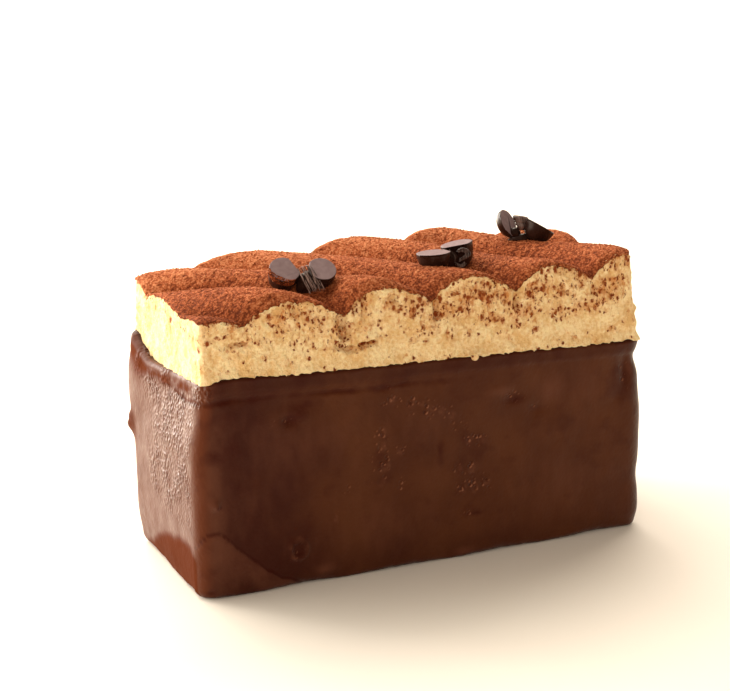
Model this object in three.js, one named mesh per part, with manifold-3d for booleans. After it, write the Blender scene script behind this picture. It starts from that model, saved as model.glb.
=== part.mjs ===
// Espresso gateau: a chocolate-coated cake block, a cut layer of coffee cream piped in slanting ropes, a skin of
// cocoa, and three moulded chocolate coffee beans, snapped and folded open. Millimetres, +Z up. The origin is the
// middle of the flat underside, +X runs along the cake and the front faces -Y.
import * as THREE from "three";
import { mergeVertices } from "three/addons/utils/BufferGeometryUtils.js";
import Module from "manifold-3d";

const wasm = await Module();
wasm.setup();

// Driving dimensions.
const cakeLength = 98.9;
const cakeWidth = 40.8;
const coatCorner = 2.8; // round of the coat's upright corners
const footRound = 1.5; // round under the coat's foot
const lipRound = 0.5; // round of the coat's upper rim
const joinHeight = 43.5; // where cream meets coat, at the middle of the cake
const joinSlope = -0.047; // the cake was dipped at a slant: deeper on the left
const creamLength = 95.4;
const creamWidth = 39.4;
const creamShift = 0.5; // the cream sits a little to the right of the coat's middle
const creamCorner = 1.0;
const creamLean = 1.9; // how far the cream's right end leans in at the top
const crestHeight = 60.3; // top of the highest ropes
const ropeDepth = 4.7; // crest to valley
const cocoaThickness = 0.8;
const seat = 0.3; // clearance between touching pieces
const creamSeat = 0.4; // the same between cream and coat
const beanRadius = 3.4;
const beanApart = 3.9; // from the fold of a bean to the middle of each snapped face

const halfLength = cakeLength / 2;
const halfWidth = cakeWidth / 2;

const mix = (a, b, t) => a + (b - a) * t;
const clamp01 = (t) => Math.min(1, Math.max(0, t));
const smooth = (t) => clamp01(t) ** 2 * (3 - 2 * clamp01(t));
const bell = (...offsets) => Math.exp(-offsets.reduce((sum, o) => sum + o * o, 0));

// A box of unit half size, cut into a grid, whose every point is put in place by a rule. The squares of its
// underside are split along the same diagonals as those of its top, so that a thin skin keeps its thickness.
function griddedBox(counts, place) {
  const box = new THREE.BoxGeometry(2, 2, 2, ...counts);
  box.deleteAttribute("normal");
  box.deleteAttribute("uv");
  const underside = box.groups[5];
  const index = box.index.array;
  for (let i = underside.start; i < underside.start + underside.count; i += 6) {
    const [a, b, , , c, d] = index.slice(i, i + 6);
    index.set([a, b, c, a, c, d], i);
  }
  const geometry = mergeVertices(box, 1e-4);
  const position = geometry.attributes.position;
  for (let i = 0; i < position.count; i++) {
    position.setXYZ(i, ...place(position.getX(i), position.getY(i), position.getZ(i)));
  }
  geometry.computeVertexNormals();
  return geometry;
}

// Spaces grid lines so that the outer two lie inside the corner round.
function spaced(u, count, half, corner) {
  const line = ((1 + u) / 2) * count;
  const fromEnd = Math.min(line, count - line);
  const outer = 2;
  const inwards =
    fromEnd <= outer
      ? (corner * fromEnd) / outer
      : corner + ((half - corner) * (fromEnd - outer)) / (count / 2 - outer);
  return Math.sign(u) * (half - inwards);
}

// Turns a rectangle's square corners into round ones, inside points too. Gives the point and the wall's way out.
function roundedPlan(x, y, halfX, halfY, corner) {
  const coreX = Math.sign(x) * Math.min(Math.abs(x), halfX - corner);
  const coreY = Math.sign(y) * Math.min(Math.abs(y), halfY - corner);
  const dx = x - coreX;
  const dy = y - coreY;
  const reach = Math.hypot(dx, dy);
  if (reach < 1e-9) return { x, y, outX: 0, outY: 0 };
  const shrink = Math.max(Math.abs(dx), Math.abs(dy)) / reach;
  return { x: coreX + dx * shrink, y: coreY + dy * shrink, outX: dx / reach, outY: dy / reach };
}

// The coat: height of its upper rim, which sags along the left end and rises again at the left back corner.
function rimHeight(x, y) {
  const leftSag = -3.3 * bell((x + halfLength) / 7, (y - 8) / (y < 8 ? 22 : 8));
  const backRise = 1.0 * bell((x + halfLength) / 7, (y - halfWidth) / 4);
  const frontRise = 0.5 * bell((x + 40) / 8, (y + halfWidth) / 10);
  return joinHeight + joinSlope * x + leftSag + backRise + frontRise;
}

// Swellings and dents of the dipped coat: where, how wide, how high, and how far out.
const coatSwellings = [
  { x: -halfLength, y: 17, z: 45, wide: 14, high: 3.5, out: -1.0 }, // the left rim stands back
  { x: -halfLength, y: 18, z: 33, wide: 9, high: 8, out: 0.7 }, // a belly under it
  { x: -halfLength, y: 19, z: 24, wide: 3.5, high: 2, out: 0.5 },
  { x: -halfLength, y: 8, z: 0, wide: 18, high: 5, out: -1.1 },
  { x: halfLength, y: -19, z: 37, wide: 6, high: 2.6, out: -1.0 }, // pinched under the right rim
  { x: halfLength, y: -18, z: 24, wide: 9, high: 7, out: 0.35 },
  { x: halfLength, y: -18, z: 11.5, wide: 8, high: 2.8, out: -0.4 },
  { x: halfLength, y: -10, z: 0, wide: 20, high: 2.5, out: -1.0 },
  { x: -41, y: -halfWidth, z: 7, wide: 5.5, high: 6.5, out: 0.55 }, // lapped corner of the front foot
  { x: -29, y: -halfWidth, z: 39, wide: 6, high: 2, out: -0.4 }, // dimple under the front crease
  { x: -8, y: -halfWidth, z: 20, wide: 15, high: 12, out: 0.25 },
  { x: 27, y: -halfWidth, z: 32, wide: 8, high: 6, out: -0.3 },
  { x: 10, y: halfWidth, z: 25, wide: 17, high: 12, out: 0.35 },
  { x: -22, y: halfWidth, z: 34, wide: 9, high: 5, out: -0.3 },
];

// How far the coat stands out at a place on its wall. A band along the rim is a little proud of the rest.
function coatSwell(x, y, z) {
  const rim = rimHeight(x, y);
  const band = 0.25 * smooth((z - (rim - 3.6)) / 1.2);
  const lip = 0.25 * smooth((z - (rim - 1.4)) / 1.2);
  return coatSwellings.reduce(
    (sum, s) => sum + s.out * bell(Math.hypot(x - s.x, y - s.y) / s.wide, (z - s.z) / s.high),
    band + lip - 0.2,
  );
}

// How far a rounded edge draws the wall in, at a height measured from the edge.
function edgeRound(radius, fromEdge) {
  const inside = clamp01(1 - fromEdge / radius);
  return -radius * (1 - Math.sqrt(1 - inside * inside));
}

// Heights of the coat's rows as shares of the rim's height: close together at the foot and at the rim.
const coatRows = [
  0, 0.004, 0.013, 0.033, 0.09, 0.17, 0.26, 0.35, 0.44, 0.53, 0.62, 0.71, 0.8, 0.87, 0.925, 0.96, 0.988, 1,
];

function coatedBlock() {
  const counts = [30, 12, coatRows.length - 1];
  return griddedBox(counts, (u, v, w) => {
    const x = spaced(u, counts[0], halfLength, coatCorner);
    const y = spaced(v, counts[1], halfWidth, coatCorner);
    const plan = roundedPlan(x, y, halfLength, halfWidth, coatCorner);
    const rim = rimHeight(plan.x, plan.y);
    const z = coatRows[Math.round(((w + 1) / 2) * counts[2])] * rim;
    const foot = footRound * (1 + 0.35 * Math.sin(plan.x * 0.29) * Math.cos(plan.y * 0.17));
    const rounds = edgeRound(foot, z) + edgeRound(lipRound, rim - z);
    const out = coatSwell(plan.x, plan.y, z) + rounds;
    const onWall = Math.max(Math.abs(u), Math.abs(v)) > 0.999;
    const outX = onWall ? plan.outX : (plan.x / halfLength) ** 3;
    const outY = onWall ? plan.outY : (plan.y / halfWidth) ** 3;
    return [plan.x + outX * out, plan.y + outY * out, z];
  });
}

// The valleys between the piped ropes: where each meets the front and the back of the cream, and its depth there.
// A rope lies between each valley and the next, and they fan out a little towards the back.
const ropeValleys = [
  { front: -60, back: -100, frontDepth: 0, backDepth: 0 },
  { front: -37.9, back: -78, frontDepth: 0.8, backDepth: 0 },
  { front: -16.5, back: -57, frontDepth: 1, backDepth: 0.8 },
  { front: 2.4, back: -36, frontDepth: 0.85, backDepth: 0.7 },
  { front: 20.9, back: -9.5, frontDepth: 1.05, backDepth: 0.75 },
  { front: 37.9, back: 11.8, frontDepth: 0.95, backDepth: 0.8 },
  { front: 56, back: 32, frontDepth: 1, backDepth: 0.7 },
  { front: 74, back: 52, frontDepth: 1, backDepth: 0.7 },
  { front: 92, back: 72, frontDepth: 1, backDepth: 0.7 },
];
const valleyBow = 3; // how far the valleys bow to the right on their way back
const crestShare = 0.42; // the crest's place across a rope: steep on its left, gentle on its right

// A place on the ropes: across from one valley to the next, and back from the cream's front to its back.
function ropePlace(rope, across, back) {
  const left = ropeValleys[rope];
  const right = ropeValleys[rope + 1];
  const bow = valleyBow * Math.sin(Math.PI * back);
  const x = mix(mix(left.front, left.back, back), mix(right.front, right.back, back), across) + bow;
  const y = (back - 0.5) * creamWidth;
  const leftDepth = mix(left.frontDepth, left.backDepth, back);
  const rightDepth = mix(right.frontDepth, right.backDepth, back);
  const skewed = across ** (Math.log(0.5) / Math.log(crestShare));
  const hollow = mix(leftDepth, rightDepth, across) * (1 - Math.sin(Math.PI * skewed) ** 0.85);
  const leftFall = bell((x + halfLength) / 8);
  const backFall = 0.9 * back + 4.2 * smooth((x - 12) / 40) * clamp01(back) ** 1.5;
  const crest = crestHeight - 2.5 * leftFall - backFall;
  return { x, y, top: crest - ropeDepth * hollow * (1 - 0.75 * leftFall) };
}

// Grid lines across each rope: close together where the rope turns over, and one in every valley.
const ropeLines = [0, 0.06, 0.18, 0.32, 0.46, 0.62, 0.78, 0.92];
const ropeCount = ropeValleys.length - 1;
const ropeGrid = [ropeCount * ropeLines.length, 14];

// A slab that follows the ropes, wider than the cake all round, with a rule for the height of each face.
function ropeSlab(upper, lower) {
  return griddedBox([...ropeGrid, 1], (u, v, w) => {
    const line = Math.round(((1 + u) / 2) * ropeGrid[0]);
    const rope = Math.min(ropeCount - 1, Math.floor(line / ropeLines.length));
    const across = line === ropeGrid[0] ? 1 : ropeLines[line % ropeLines.length];
    const place = ropePlace(rope, across, 0.5 + 0.53 * v);
    return [place.x, place.y, w < 0 ? lower(place) : upper(place)];
  });
}

const cocoaTop = (place) => place.top;
const cocoaUnderside = (place) => place.top - cocoaThickness;
const creamTop = (place) => cocoaUnderside(place) - seat;
const creamUnderside = (place) => rimHeight(place.x, place.y) + creamSeat;

// The cream's cut walls: wavering, with the right end leaning in.
function cutWalls() {
  const counts = [20, 10, 6];
  const halfX = creamLength / 2;
  const halfY = creamWidth / 2;
  return griddedBox(counts, (u, v, w) => {
    const z = mix(joinHeight - 6, crestHeight + 3, (w + 1) / 2);
    const share = (z - joinHeight) / (crestHeight - joinHeight);
    const x = spaced(u, counts[0], halfX, creamCorner);
    const y = spaced(v, counts[1], halfY, creamCorner);
    const plan = roundedPlan(x, y, halfX, halfY, creamCorner);
    const lean = creamLean * share * smooth(plan.x / halfX);
    const waver = 0.18 * Math.sin(plan.x * 0.33 + share * 3) * Math.cos(plan.y * 0.4 + share * 5);
    const out = waver * Math.max(Math.abs(u), Math.abs(v)) ** 10;
    return [creamShift + plan.x - lean + plan.outX * out, plan.y + plan.outY * out, z];
  });
}

// A three.js geometry as a manifold solid, and back.
function solidFrom(geometry) {
  const bare = geometry.clone();
  bare.deleteAttribute("normal");
  bare.deleteAttribute("uv");
  const merged = mergeVertices(bare, 1e-4);
  return new wasm.Manifold(
    new wasm.Mesh({
      numProp: 3,
      vertProperties: merged.attributes.position.array,
      triVerts: new Uint32Array(merged.index.array),
    }),
  );
}

function geometryFrom(solid) {
  const mesh = solid.getMesh();
  const geometry = new THREE.BufferGeometry();
  geometry.setAttribute("position", new THREE.BufferAttribute(mesh.vertProperties, 3));
  geometry.setIndex(new THREE.BufferAttribute(mesh.triVerts, 1));
  geometry.computeVertexNormals();
  return geometry;
}

// One lobe of a bean: a round snapped face, a rounded body behind it. Its splay turns the face away from the fold.
function beanLobe(side, splay, depth) {
  const steps = 7;
  const arc = Array.from({ length: steps + 1 }, (_, i) => {
    const turn = ((i / steps) * Math.PI) / 2;
    return new THREE.Vector2(beanRadius * Math.sin(turn) ** 0.8, -depth * Math.cos(turn));
  });
  const lobe = new THREE.LatheGeometry([...arc, new THREE.Vector2(0, 0)], 22);
  lobe.rotateX(Math.PI / 2);
  lobe.rotateY(side * THREE.MathUtils.degToRad(splay));
  return lobe.translate(side * beanApart, 0, 0);
}

// The torn web in the fold of a bean, seen from above: grooved along the front, plain at the back.
const webThickness = 3.4;
const webGrooves = 4;
const grooveDepth = 0.35;

function beanWeb(depth) {
  const half = beanApart - 1.6;
  const outline = new THREE.Shape();
  outline.moveTo(-half, webThickness / 2);
  for (let i = 0; i <= 2 * webGrooves; i++) {
    const groove = i % 2 ? grooveDepth : 0;
    outline.lineTo(mix(-half, half, i / (2 * webGrooves)), -webThickness / 2 + groove);
  }
  outline.lineTo(half, webThickness / 2);
  const web = new THREE.ExtrudeGeometry(outline, { depth: depth * 0.72, steps: 3, bevelEnabled: false });
  return web.translate(0, 0, -depth * 0.72 - 0.9);
}

// The three beans: the middle between their snapped faces, how they are turned in degrees (heading, lean to the
// front, lean to the right), the splay of each lobe, and the length of the lobes.
const beans = [
  {
    name: "chocolate_bean_left",
    middle: [-21.4, -10.2, 62.9],
    heading: -22,
    lean: 36,
    side: 0,
    splay: [22, 19],
    depth: 6.6,
  },
  {
    name: "chocolate_bean_middle",
    middle: [10.6, -7.2, 62.4],
    heading: 29,
    lean: -4,
    side: -5,
    splay: [4, -6],
    depth: 5.6,
  },
  {
    name: "chocolate_bean_right",
    middle: [34.7, 5.0, 60.9],
    heading: -15,
    lean: 15,
    side: 16,
    splay: [72, 38],
    depth: 5.2,
  },
];

function chocolateBean({ middle, heading, lean, side, splay, depth }, bed) {
  const turn = [lean, side, heading].map(THREE.MathUtils.degToRad);
  const placed = new THREE.Matrix4().makeRotationFromEuler(new THREE.Euler(...turn, "ZYX"));
  placed.setPosition(...middle);
  const whole = [beanLobe(-1, splay[0], depth), beanLobe(1, splay[1], depth), beanWeb(depth)]
    .map((piece) => solidFrom(piece.applyMatrix4(placed)))
    .reduce((joined, piece) => joined.add(piece));
  return geometryFrom(whole.subtract(bed));
}

const coatMaterial = new THREE.MeshStandardMaterial({ color: 0x4a2a1e, roughness: 0.35, metalness: 0 });
const creamMaterial = new THREE.MeshStandardMaterial({ color: 0xe6c88c, roughness: 0.75, metalness: 0 });
const cocoaMaterial = new THREE.MeshStandardMaterial({ color: 0x86452a, roughness: 1, metalness: 0 });
const beanMaterial = new THREE.MeshStandardMaterial({ color: 0x2c1a16, roughness: 0.4, metalness: 0 });

const walls = solidFrom(cutWalls());
const cutSlab = (upper, lower) => geometryFrom(solidFrom(ropeSlab(upper, lower)).intersect(walls));
const bed = solidFrom(ropeSlab((place) => cocoaTop(place) + seat, creamUnderside));

const gateau = new THREE.Group();

function addNode(name, geometry, material) {
  const mesh = new THREE.Mesh(geometry, material);
  mesh.name = name;
  gateau.add(mesh);
}

addNode("chocolate_block", coatedBlock(), coatMaterial);
addNode("coffee_cream", cutSlab(creamTop, creamUnderside), creamMaterial);
addNode("cocoa_dusting", cutSlab(cocoaTop, cocoaUnderside), cocoaMaterial);
for (const bean of beans) addNode(bean.name, chocolateBean(bean, bed), beanMaterial);

// The origin goes under the middle of the whole gateau.
const extent = new THREE.Box3().setFromObject(gateau);
const middle = extent.getCenter(new THREE.Vector3());
for (const mesh of gateau.children) mesh.geometry.translate(-middle.x, -middle.y, -extent.min.z);

export default gateau;
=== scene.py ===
import bisect
import math
import random

import bmesh
import bpy
from mathutils import Euler, Matrix, Vector, noise


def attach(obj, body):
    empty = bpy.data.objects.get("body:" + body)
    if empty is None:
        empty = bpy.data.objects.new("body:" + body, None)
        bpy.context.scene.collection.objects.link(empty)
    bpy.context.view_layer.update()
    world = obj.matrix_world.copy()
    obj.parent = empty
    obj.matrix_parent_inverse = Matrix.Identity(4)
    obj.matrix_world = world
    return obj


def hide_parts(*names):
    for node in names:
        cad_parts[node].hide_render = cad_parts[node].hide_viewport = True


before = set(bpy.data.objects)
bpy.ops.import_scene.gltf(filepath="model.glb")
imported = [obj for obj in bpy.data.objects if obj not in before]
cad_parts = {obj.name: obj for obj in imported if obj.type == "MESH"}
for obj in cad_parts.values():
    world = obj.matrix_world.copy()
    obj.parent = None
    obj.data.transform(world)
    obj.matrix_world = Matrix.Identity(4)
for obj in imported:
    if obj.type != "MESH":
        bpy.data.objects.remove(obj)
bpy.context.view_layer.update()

mm = 0.001


def mix(a, b, t):
    return a + (b - a) * t


def clamp(t, low=0, high=1):
    return min(high, max(low, t))


def smooth(t):
    t = clamp(t)
    return t * t * (3 - 2 * t)


def bell(*offsets):
    return math.exp(-sum(o * o for o in offsets))


def dabs(across, up, marks, reach=9):
    # what each mark (its place across and up, its widths across and up, its amount) gives at a point
    return [amount * bell((across - a) / wide, (up - u) / high) for a, u, wide, high, amount in marks
            if abs(across - a) < reach * wide and abs(up - u) < reach * high]


def rough(x, y, z, size, detail=3):
    # noise in about -1 to 1 whose lumps are so many millimetres wide
    return noise.fractal(Vector((x, y, z)) / size, 0.9, 2, detail)


gateau = {
    "length": 98.9, "width": 40.8,    # over the coat
    "corner": 3.8, "foot": 1.5, "lip": 0.8,    # rounds of the coat
    "join": 43.5, "slope": -0.047,    # where cream meets coat, dipped at a slant
    "leftSag": 3.3, "cornerRise": 0.5,    # how the rim sags at the left end, and rises at its corners
    "creamLength": 95.4, "creamWidth": 39.4, "creamShift": 0.5, "creamCorner": 1,
    "creamLean": 1.9,    # how far the cream's right end leans in
    "crest": 60.3, "ropeDepth": 4.7,    # top of the ropes, and crest to valley
}
halfLength = gateau["length"] / 2
halfWidth = gateau["width"] / 2
creamHalfLength = gateau["creamLength"] / 2
creamHalfWidth = gateau["creamWidth"] / 2


def rimHeight(x, y):
    fromEnd = (x + halfLength) / 7
    sag = gateau["leftSag"] * bell(fromEnd, (y - 8) / (22 if y < 8 else 8))
    corners = bell(fromEnd, (y - halfWidth) / 4) + bell((x + 40) / 8, (y + halfWidth) / 10)
    return gateau["join"] + gateau["slope"] * x - sag + gateau["cornerRise"] * corners


ropes = {
    # each valley between two ropes: x at the front and at the back, depth at the front and at the back
    "valleys": [(-60, -100, 0, 0), (-37.9, -78, 0.8, 0), (-16.5, -57, 1, 0.8), (2.4, -36, 0.85, 0.7),
                (20.9, -9.5, 1.05, 0.75), (37.9, 11.8, 0.95, 0.8), (56, 32, 1, 0.7), (74, 52, 1, 0.7),
                (92, 72, 1, 0.7)],
    "bow": 3, "crestShare": 0.42,    # how far a rope bows, and where its crest lies across it
    # how far the crests fall towards the left end, the back and the far right corner
    "leftFall": 2.5, "backFall": 0.9, "cornerFall": 4.2,
    # crests that stand higher or lower than the rest: x, y, width along x and y, how much
    "crests": [(-29, -10, 11, 11, 1.1), (-7.5, -12, 5.5, 10, 1.2), (24, -4, 12, 13, -1)],
    "roll": 0.4,    # how far the ropes roll over the cut front edge
    # where a bean pressed the cream down: x, y, width along x and y, how much
    "presses": [(-18, -12.8, 2.8, 4.3, 2.4), (39, 1.5, 3, 2.5, 0.5)],
}
skew = math.log(0.5) / math.log(ropes["crestShare"])


def ropeTop(x, y):
    back = (y + creamHalfWidth) / gateau["creamWidth"]
    bow = ropes["bow"] * math.sin(math.pi * back)
    lines = [mix(v[0], v[1], back) + bow for v in ropes["valleys"]]
    i = clamp(bisect.bisect_right(lines, x), 1, len(lines) - 1)
    across = clamp((x - lines[i - 1]) / (lines[i] - lines[i - 1]))
    left, right = [mix(v[2], v[3], back) for v in ropes["valleys"][i - 1:i + 1]]
    hump = math.sin(math.pi * across ** skew) ** 0.85 if 0 < across < 1 else 0
    fall = ropes["leftFall"] * bell((x + halfLength) / 8) + ropes["backFall"] * back
    fall += ropes["cornerFall"] * smooth((x - 12) / 40) * clamp(back) ** 1.5
    inwards = y + creamHalfWidth
    roll = ropes["roll"] * bell((inwards - 3.5) / 7)
    rise = smooth(inwards / 2.2) * (sum(dabs(x, y, ropes["crests"])) * hump + roll)
    valley = gateau["ropeDepth"] * mix(left, right, across) * (1 - 0.6 * bell((x + halfLength) / 5))
    return gateau["crest"] - fall + rise - sum(dabs(x, y, ropes["presses"])) - valley * (1 - hump)


def gridBlock(counts):
    # a cube with its faces cut into a grid, from -1 to 1 each way
    block = bmesh.new()
    bmesh.ops.create_cube(block, size=2)
    for axis, count in enumerate(counts):
        along = [e for e in block.edges if abs(e.verts[0].co[axis] - e.verts[1].co[axis]) > 1]
        bmesh.ops.subdivide_edges(block, edges=along, cuts=count - 1, use_grid_fill=True)
    return block


def onSides(u, w):
    # whether a point of such a cube is on one of its upright sides
    return max(abs(u), abs(w)) > 0.999


def spaced(u, count, half, corner, outer):
    # spaces grid lines so that the outer ones lie inside the corner's round
    line = (1 + u) / 2 * count
    fromEnd = min(line, count - line)
    if fromEnd <= outer:
        inwards = corner * fromEnd / outer
    else:
        inwards = corner + (half - corner) * (fromEnd - outer) / (count / 2 - outer)
    return math.copysign(half - inwards, u)


def roundedPlan(u, w, counts, halfX, halfY, corner, outer):
    # takes a point of such a cube to a rectangle with round corners, and says which way is out there
    x = spaced(u, counts[0], halfX, corner, outer)
    y = spaced(w, counts[1], halfY, corner, outer)
    coreX = math.copysign(min(abs(x), halfX - corner), x)
    coreY = math.copysign(min(abs(y), halfY - corner), y)
    dx, dy = x - coreX, y - coreY
    reach = math.hypot(dx, dy)
    if reach < 1e-9:
        return x, y, 0, 0
    shrink = max(abs(dx), abs(dy)) / reach
    return coreX + dx * shrink, coreY + dy * shrink, dx / reach, dy / reach


def edgeRound(radius, fromEdge):
    inside = clamp(1 - fromEdge / radius)
    return -radius * (1 - math.sqrt(1 - inside * inside))


def finishPiece(name, block, materials, replaced=()):
    # turns a bmesh in millimetres into a piece in metres that rides on the body
    bmesh.ops.scale(block, vec=(mm, mm, mm), verts=block.verts)
    for face in block.faces:
        face.smooth = True
    mesh = bpy.data.meshes.new(name)
    block.to_mesh(mesh)
    block.free()
    for material in materials:
        mesh.materials.append(material)
    piece = bpy.data.objects.new(name, mesh)
    bpy.context.scene.collection.objects.link(piece)
    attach(piece, "root")
    for node in replaced:
        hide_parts(node)
    print(name, len(mesh.polygons), "faces")


def addTo(block, part):
    # moves a part's faces into a larger bmesh
    mesh = bpy.data.meshes.new("part")
    part.to_mesh(mesh)
    part.free()
    block.from_mesh(mesh)
    bpy.data.meshes.remove(mesh)


def scatter(name, places, material, paleAndLit):
    # one piece of many small lumps, each put in place by a matrix, made a few hundred at a time
    block = bmesh.new()
    for start in range(0, len(places), 300):
        batch = bmesh.new()
        for spot in places[start:start + 300]:
            bmesh.ops.create_icosphere(batch, subdivisions=1, radius=1, matrix=spot)
        addTo(block, batch)
    paint = block.verts.layers.float.new("paleAndLit")
    for v in block.verts:
        v[paint] = paleAndLit
    finishPiece(name, block, [material])


def hexColour(code):
    # an sRGB colour made linear
    parts = [int(code[i:i + 2], 16) / 255 for i in (1, 3, 5)]
    return [p / 12.92 if p <= 0.04045 else ((p + 0.055) / 1.055) ** 2.4 for p in parts] + [1]


def addNode(tree, kind, inputs, **settings):
    # adds a node with its settings and links. Inputs go by name or number, or as a list in the order of the
    # sockets. A node given as an input stands for its first live output, and a string is a colour
    node = tree.nodes.new("ShaderNode" + kind)
    for key, value in settings.items():
        setattr(node, key, value)
    for key, value in inputs.items() if isinstance(inputs, dict) else enumerate(inputs):
        if isinstance(value, bpy.types.Node):
            value = next(output for output in value.outputs if output.enabled)
        if isinstance(value, bpy.types.NodeSocket):
            tree.links.new(value, node.inputs[key])
        else:
            node.inputs[key].default_value = hexColour(value) if isinstance(value, str) else value
    return node


def newMaterial(name):
    material = bpy.data.materials.new(name)
    material.use_nodes = True
    tree = material.node_tree
    tree.nodes.clear()
    return material, tree, addNode(tree, "TexCoord", {}).outputs["Object"]


def laid(tree, under, colour, value, low=0, high=1, most=1):
    # lays a colour over what is under it, more the further a value stands between two limits
    share = addNode(tree, "MapRange", [value, low, high, 0, most])
    return addNode(tree, "Mix", {0: share, 6: under, 7: colour}, data_type="RGBA")


def closeMaterial(material, relief, finish):
    # ends a material: its relief (strength, depth in millimetres, height), finest first, then its shader
    tree, normal = material.node_tree, {}
    for strength, depth, height in relief:
        bump = {"Strength": strength, "Distance": depth * mm, "Height": height}
        normal = {"Normal": addNode(tree, "Bump", {**bump, **normal})}
    shader = addNode(tree, "BsdfPrincipled", {**finish, **normal})
    addNode(tree, "OutputMaterial", {"Surface": shader})
    return material


coatLook = {
    # glint: painted highlight on the burst bubbles' lower edges. The dark red after it is for stains and for
    # painted shade in their hollows
    "ground": "#37140b", "glint": "#8c5a44", "maroon": "#340a04",
    # tints, each over the ones before: colour and paint. Where a noise breaks one up: the noise, its range
    # and what that adds to the paint, the paint at full strength, and the strongest tint
    "tints": [("#502a16", "tone", "cloud", (0.3, 0.7, -0.3, 0.3), 1, 1),
              ("#5f3727", "bloom", "streak", (0.3, 0.8, -0.2, 0.2), 1, 0.7),
              # painted light: a lighter brown on the left end, which faces the key light
              ("#572914", "warm"),
              # stains, and painted shade in the crease, along the lap's top edge and on a drop's lower side
              ("#340a04", "maroon", "mottle", (0.3, 0.75, -0.5, 0.3), 0.9, 0.8),
              # painted reflection: the dull tint at the left end's foot. Painted shade: the rim tint, just
              # under the cream
              ("#55260f", "dull"), ("#2e0e06", "rim")],
    # each noise: size in millimetres, detail, and scale along the height, which draws it out where below 1
    "noises": {"cloud": (11, 4, 1), "mottle": (3, 5, 1), "streak": (2.2, 2, 0.4), "grain": (0.8, 4, 1)},
    "pebble": 0.66, "blister": 1.25,    # sizes in millimetres
    "roughness": (0.34, 0.5), "dullRougher": 0.55, "sheen": (0.8, 0.1),
}
coatPaints = ("pebble", "blister", "tone", "maroon", "bloom", "warm", "dull", "rim")


def darkCoatingChocolate():
    # dark coating chocolate, dipped by hand: satin, cloudy with cocoa butter, drained in faint upright
    # streaks. The left end set pebbled, and burst bubbles left clusters of small pits on the front
    look = coatLook
    material, tree, spot = newMaterial("darkCoatingChocolate")
    paint = {name: addNode(tree, "Attribute", {}, attribute_name=name).outputs["Fac"] for name in coatPaints}
    noises = {}
    for name, (size, detail, drawn) in look["noises"].items():
        vector = addNode(tree, "Mapping", {"Vector": spot, "Scale": (1, 1, drawn)})
        noises[name] = addNode(tree, "TexNoise", {
            "Vector": vector, "Scale": 1 / (size * mm), "Detail": detail})
    tone = look["ground"]
    for colour, name, *broken in look["tints"]:
        value, full, strongest = paint[name], 1, 1
        if broken:
            noiseName, shift, full, strongest = broken
            shifted = addNode(tree, "MapRange", [noises[noiseName], *shift])
            value = addNode(tree, "Math", [value, shifted], operation="ADD")
        tone = laid(tree, tone, colour, value, 0, full, strongest)
    satin = addNode(tree, "MapRange", [noises["mottle"], 0.3, 0.7, *look["roughness"]])
    duller = addNode(tree, "MapRange", [paint["dull"], 0, 1, 0, look["dullRougher"]])
    satin = addNode(tree, "Math", [satin, duller], operation="ADD")
    # pebbles of the left end
    tall = addNode(tree, "Mapping", {"Vector": spot, "Scale": (1, 1, 0.8)})
    pebbles = addNode(tree, "TexVoronoi", {
        "Vector": tall, "Scale": 1 / (look["pebble"] * mm), "Smoothness": 0.5}, feature="SMOOTH_F1")
    pebbled = addNode(tree, "Math", [paint["pebble"], pebbles], operation="MULTIPLY")

    def hollow(vector):
        cells = addNode(tree, "TexVoronoi", {"Vector": vector, "Scale": 1 / (look["blister"] * mm)})
        deep = addNode(tree, "MapRange", [cells, 0.12, 0.42, 1, 0], interpolation_type="SMOOTHSTEP")
        return addNode(tree, "Math", [deep, paint["blister"]], operation="MULTIPLY")

    # burst bubbles, each a hollow darkened with painted shade, with a painted highlight on its lower edge
    beside = addNode(tree, "Mapping", {"Vector": spot, "Location": (-0.26 * mm, 0, 0.22 * mm)})
    pit = hollow(spot)
    litLowerEdge = addNode(tree, "Math", [hollow(beside), pit], operation="SUBTRACT")
    tone = laid(tree, tone, look["glint"], litLowerEdge, 0.05, 0.6, 0.8)
    tone = laid(tree, tone, look["maroon"], pit, most=0.35)
    relief = [(0.45, 0.05, noises["grain"]), (0.6, 0.25, noises["mottle"]), (1, 0.8, pebbled),
              (1, -0.25, pit)]
    return closeMaterial(material, relief, {
        "Base Color": tone, "Roughness": satin, "IOR": 1.45,
        "Specular IOR Level": addNode(tree, "MapRange", [paint["dull"], 0, 1, *look["sheen"]]),
        "Specular Tint": (0.16, 0.13, 0.11, 1)})


cocoaLook = {
    "deep": "#632c15", "mid": "#a0542f", "dryAndLit": "#d08a5e",
    "drift": 9, "clump": 0.42, "grain": 0.44,    # sizes in millimetres
}
creamLook = {
    "pale": "#f8e0ae", "coffee": "#e2b87c", "haze": "#d3934c", "halo": "#bf7031", "stain": "#84380f",
    "speck": "#742c0b",
    # noises of crumb, clouds, haze, dabs, flecks and jitter: size in millimetres, detail, roughness, and
    # scale along the height
    "noises": [(0.7, 5, 0.62, 1), (4, 3, 0.5, 1), (2.2, 4, 0.6, 0.72), (0.95, 3, 0.6, 0.6),
               (0.8, 4, 0.6, 0.72), (0.6, 3, 0.5, 1)],
    "dragged": 0.72, "bend": (0.9 * mm, 0.9 * mm, 1.1 * mm),
    "lump": 1.5, "grit": 0.85, "pore": 0.8,    # sizes in millimetres
}
creamPaints = ("smeared", "crust")


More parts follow.
